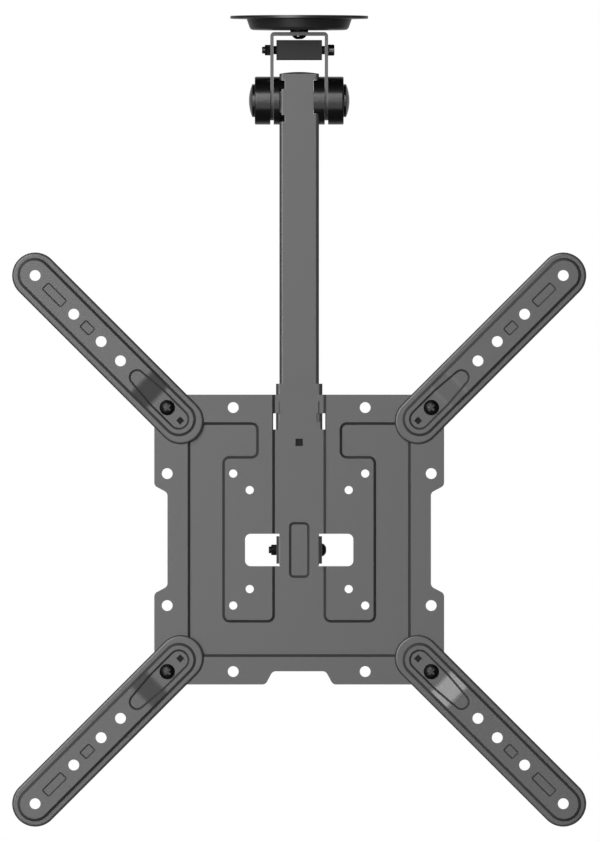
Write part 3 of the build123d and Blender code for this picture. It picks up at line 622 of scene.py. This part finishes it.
class MOUNT_OT_paint_shade_in_square_holes(bpy.types.Operator):
    """Fill the square holes in the screen plate's spine and in the arms with black plugs that paint the shade
    inside them
    """

    bl_idname = "mount.plug_square_holes"
    bl_label = "Paint Shade In Square Holes"

    def execute(self, context):
        # Black plugs fill the square holes and paint the shade that falls inside them.
        sink = context.scene.mount_details.shade_plug_sink
        # Each hole is 2.0 mm deep and narrows by 1.0 mm a side to its back; a plug has a little play in it
        depth, draft, play, back_gap = 2.0 * MM, 1.0 * MM, 0.08 * MM, 0.1 * MM
        spine_half, arm_half = 2.8 * MM, 2.2 * MM
        # Height of the spine's hole, and how far an arm's hole lies inward of its pivot
        spine_height, arm_inset = -323.4 * MM, 14.0 * MM
        spine_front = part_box("guide_bracket")[0].y - depth
        spine_mouth = Vector((0.0, spine_front, spine_height))
        # Plug, half the width of its hole, middle of the hole's mouth, turn of the square and body
        holes = [("spine_shade_plug", spine_half, spine_mouth, 0.0, "plate")]
        plate_middle = sum(joint["pos_m"][2] for joint in SWINGS) / len(SWINGS)
        for joint in SWINGS:
            pivot = Vector(joint["pos_m"])
            outward = Vector((pivot.x, 0.0, pivot.z - plate_middle)).normalized()
            mouth = pivot - arm_inset * outward - Vector((0.0, depth, 0.0))
            arm = joint["name"].replace("swing", "arm")
            holes.append((arm + "_shade_plug", arm_half, mouth, 45.0, arm))
        for name, half, mouth, turn, body in holes:
            shape = bmesh.new()
            rings = []
            for level in (sink, depth - back_gap):
                reach = half - draft * level / depth - play
                corners = ((-reach, -reach), (reach, -reach), (reach, reach), (-reach, reach))
                rings.append([shape.verts.new((x, level, z)) for x, z in corners])
            for i in range(4):
                j = (i + 1) % 4
                shape.faces.new((rings[0][i], rings[0][j], rings[1][j], rings[1][i]))
            for ring in rings:
                shape.faces.new(ring)
            place = Matrix.Translation(mouth) @ Matrix.Rotation(math.radians(turn), 4, "Y")
            add_piece(name, shape, place, SHADE_PLUG_BLACK, body)
        return {"FINISHED"}


class MOUNT_OT_set_stage(bpy.types.Operator):
    """Set the floor, the studio light and the camera"""

    bl_idname = "mount.set_stage"
    bl_label = "Set Stage"

    def execute(self, context):
        stage = context.scene.mount_stage
        scene = context.scene
        scene.view_settings.view_transform = "Standard"
        # Middle of the picture, which the camera and the lamps point at
        aim = Vector((0.6 * MM, 0.0, -306.8 * MM))

        # Painted board, rolled: pale and quite matt, so that it shows a soft shadow. It lies as far below the
        # ceiling as in a room.
        bpy.ops.mesh.primitive_circle_add(
            vertices=96, radius=2.0, fill_type="NGON", location=(0.0, 0.0, -stage.floor_drop)
        )
        floor = context.object
        floor.name = "floor"
        floor.visible_glossy = False
        material = empty_material("Matt painted floor")
        tree = material.node_tree
        shader = add_node(
            tree, "ShaderNodeBsdfPrincipled", {"Base Color": (*stage.floor_colour, 1.0), "Roughness": 0.8}
        )
        add_node(tree, "ShaderNodeOutputMaterial", {"Surface": shader.outputs["BSDF"]})
        floor.data.materials.append(material)

        # White backdrop for the camera. The mount mirrors only a part of it, more of what is behind the mount
        # than of what is in front, so that the black finishes stay black and bare metal still shows it.
        world = bpy.data.worlds.new("Studio")
        scene.world = world
        world.use_nodes = True
        tree = world.node_tree
        tree.nodes.clear()
        path = add_node(tree, "ShaderNodeLightPath").outputs
        toward = add_node(tree, "ShaderNodeTexCoord").outputs["Generated"]
        depth = add_node(tree, "ShaderNodeSeparateXYZ", {"Vector": toward}).outputs["Y"]
        share = add_node(
            tree,
            "ShaderNodeMapRange",
            {"Value": depth, "From Min": 0.4, "From Max": 0.95, "To Min": 0.03, "To Max": 0.5},
        )
        mirrored = add_node(
            tree,
            "ShaderNodeMath",
            {0: path["Is Glossy Ray"], 1: share.outputs["Result"]},
            operation="MULTIPLY",
        )
        direct = add_node(
            tree,
            "ShaderNodeMath",
            {0: path["Is Camera Ray"], 1: path["Is Transmission Ray"]},
            operation="MAXIMUM",
        )
        shown = add_node(
            tree, "ShaderNodeMath", {0: mirrored.outputs[0], 1: direct.outputs[0]}, operation="MAXIMUM"
        )
        room = add_node(tree, "ShaderNodeBackground", {"Color": (1.0, 1.0, 1.0, 1.0), "Strength": 0.03})
        backdrop = add_node(tree, "ShaderNodeBackground", {"Color": (1.0, 1.0, 1.0, 1.0), "Strength": 1.0})
        mix = add_node(
            tree,
            "ShaderNodeMixShader",
            {0: shown.outputs[0], 1: room.outputs[0], 2: backdrop.outputs[0]},
        )
        add_node(tree, "ShaderNodeOutputWorld", {"Surface": mix.outputs[0]})

        # Softboxes: name, angle round the mount from its front, angle up, width, height, power, and whether
        # the mount mirrors it. The others would draw white lines along the rims of the black pieces.
        distance = 6.0
        for name, around, up, width, height, power, mirrored in (
            ("key_softbox", -19.0, 17.0, 3.44, 4.46, stage.key_power, True),
            ("fill_softbox", -16.0, -20.0, 4.1, 4.0, stage.fill_power, True),
            ("left_softbox", -96.0, 8.0, 4.2, 4.6, stage.side_power, False),
            ("right_softbox", 96.0, 8.0, 4.2, 4.6, stage.side_power, False),
            ("back_left_softbox", -152.0, 8.0, 4.4, 4.6, stage.back_power, False),
            ("back_right_softbox", 152.0, 8.0, 4.4, 4.6, stage.back_power, False),
            ("top_softbox", 180.0, 80.0, 4.0, 4.0, stage.top_power, False),
        ):
            lamp = bpy.data.lights.new(name, "AREA")
            lamp.shape = "RECTANGLE"
            lamp.size = width
            lamp.size_y = height
            lamp.energy = power
            holder = bpy.data.objects.new(name, lamp)
            scene.collection.objects.link(holder)
            turn = math.radians(around)
            rise = math.radians(up)
            level = math.cos(rise)
            away = Vector((math.sin(turn) * level, -math.cos(turn) * level, math.sin(rise)))
            holder.location = aim + away * distance
            holder.rotation_mode = "QUATERNION"
            holder.rotation_quaternion = (-away).to_track_quat("-Z", "Y")
            holder.visible_camera = False
            holder.visible_glossy = mirrored

        # Long lens, level with the middle of the mount
        camera = bpy.data.cameras.new("camera")
        camera.sensor_width = 36.0
        camera.lens = camera.sensor_width * stage.camera_distance / stage.picture_height
        camera.clip_end = 3 * stage.camera_distance
        viewer = bpy.data.objects.new("camera", camera)
        scene.collection.objects.link(viewer)
        plate_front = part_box("screen_plate")[0].y
        viewer.location = (aim.x, plate_front - stage.camera_distance, aim.z)
        viewer.rotation_euler = (math.radians(90.0), 0.0, 0.0)
        scene.camera = viewer
        return {"FINISHED"}


class MOUNT_PT_sidebar(bpy.types.Panel):
    """Steps that dress the ceiling mount"""

    bl_idname = "MOUNT_PT_sidebar"
    bl_label = "Ceiling Mount"
    bl_space_type = "VIEW_3D"
    bl_region_type = "UI"
    bl_category = "Ceiling Mount"

    def draw(self, context):
        for step in STEPS:
            self.layout.operator(step.bl_idname)
        for group in (context.scene.mount_finishes, context.scene.mount_details, context.scene.mount_stage):
            column = self.layout.column()
            for name in group.bl_rna.properties.keys():
                if name not in ("rna_type", "name"):
                    column.prop(group, name)


STEPS = (
    MOUNT_OT_coat_sheet_steel,
    MOUNT_OT_finish_mouldings,
    MOUNT_OT_finish_fasteners,
    MOUNT_OT_cut_threads,
    MOUNT_OT_seat_lock_rings,
    MOUNT_OT_paint_shade_in_square_holes,
    MOUNT_OT_set_stage,
)
CLASSES = (MountFinishes, MountDetails, MountStage, *STEPS, MOUNT_PT_sidebar)


def register():
    for cls in CLASSES:
        bpy.utils.register_class(cls)
    bpy.types.Scene.mount_finishes = PointerProperty(type=MountFinishes)
    bpy.types.Scene.mount_details = PointerProperty(type=MountDetails)
    bpy.types.Scene.mount_stage = PointerProperty(type=MountStage)


def unregister():
    del bpy.types.Scene.mount_stage
    del bpy.types.Scene.mount_details
    del bpy.types.Scene.mount_finishes
    for cls in reversed(CLASSES):
        bpy.utils.unregister_class(cls)


def main():
    """Dresses the mount."""
    register()
    bpy.ops.mount.coat_sheet_steel()
    bpy.ops.mount.finish_mouldings()
    bpy.ops.mount.finish_fasteners()
    bpy.ops.mount.cut_threads()
    bpy.ops.mount.seat_lock_rings()
    bpy.ops.mount.plug_square_holes()
    bpy.ops.mount.set_stage()


if __name__ == "__main__":
    main()
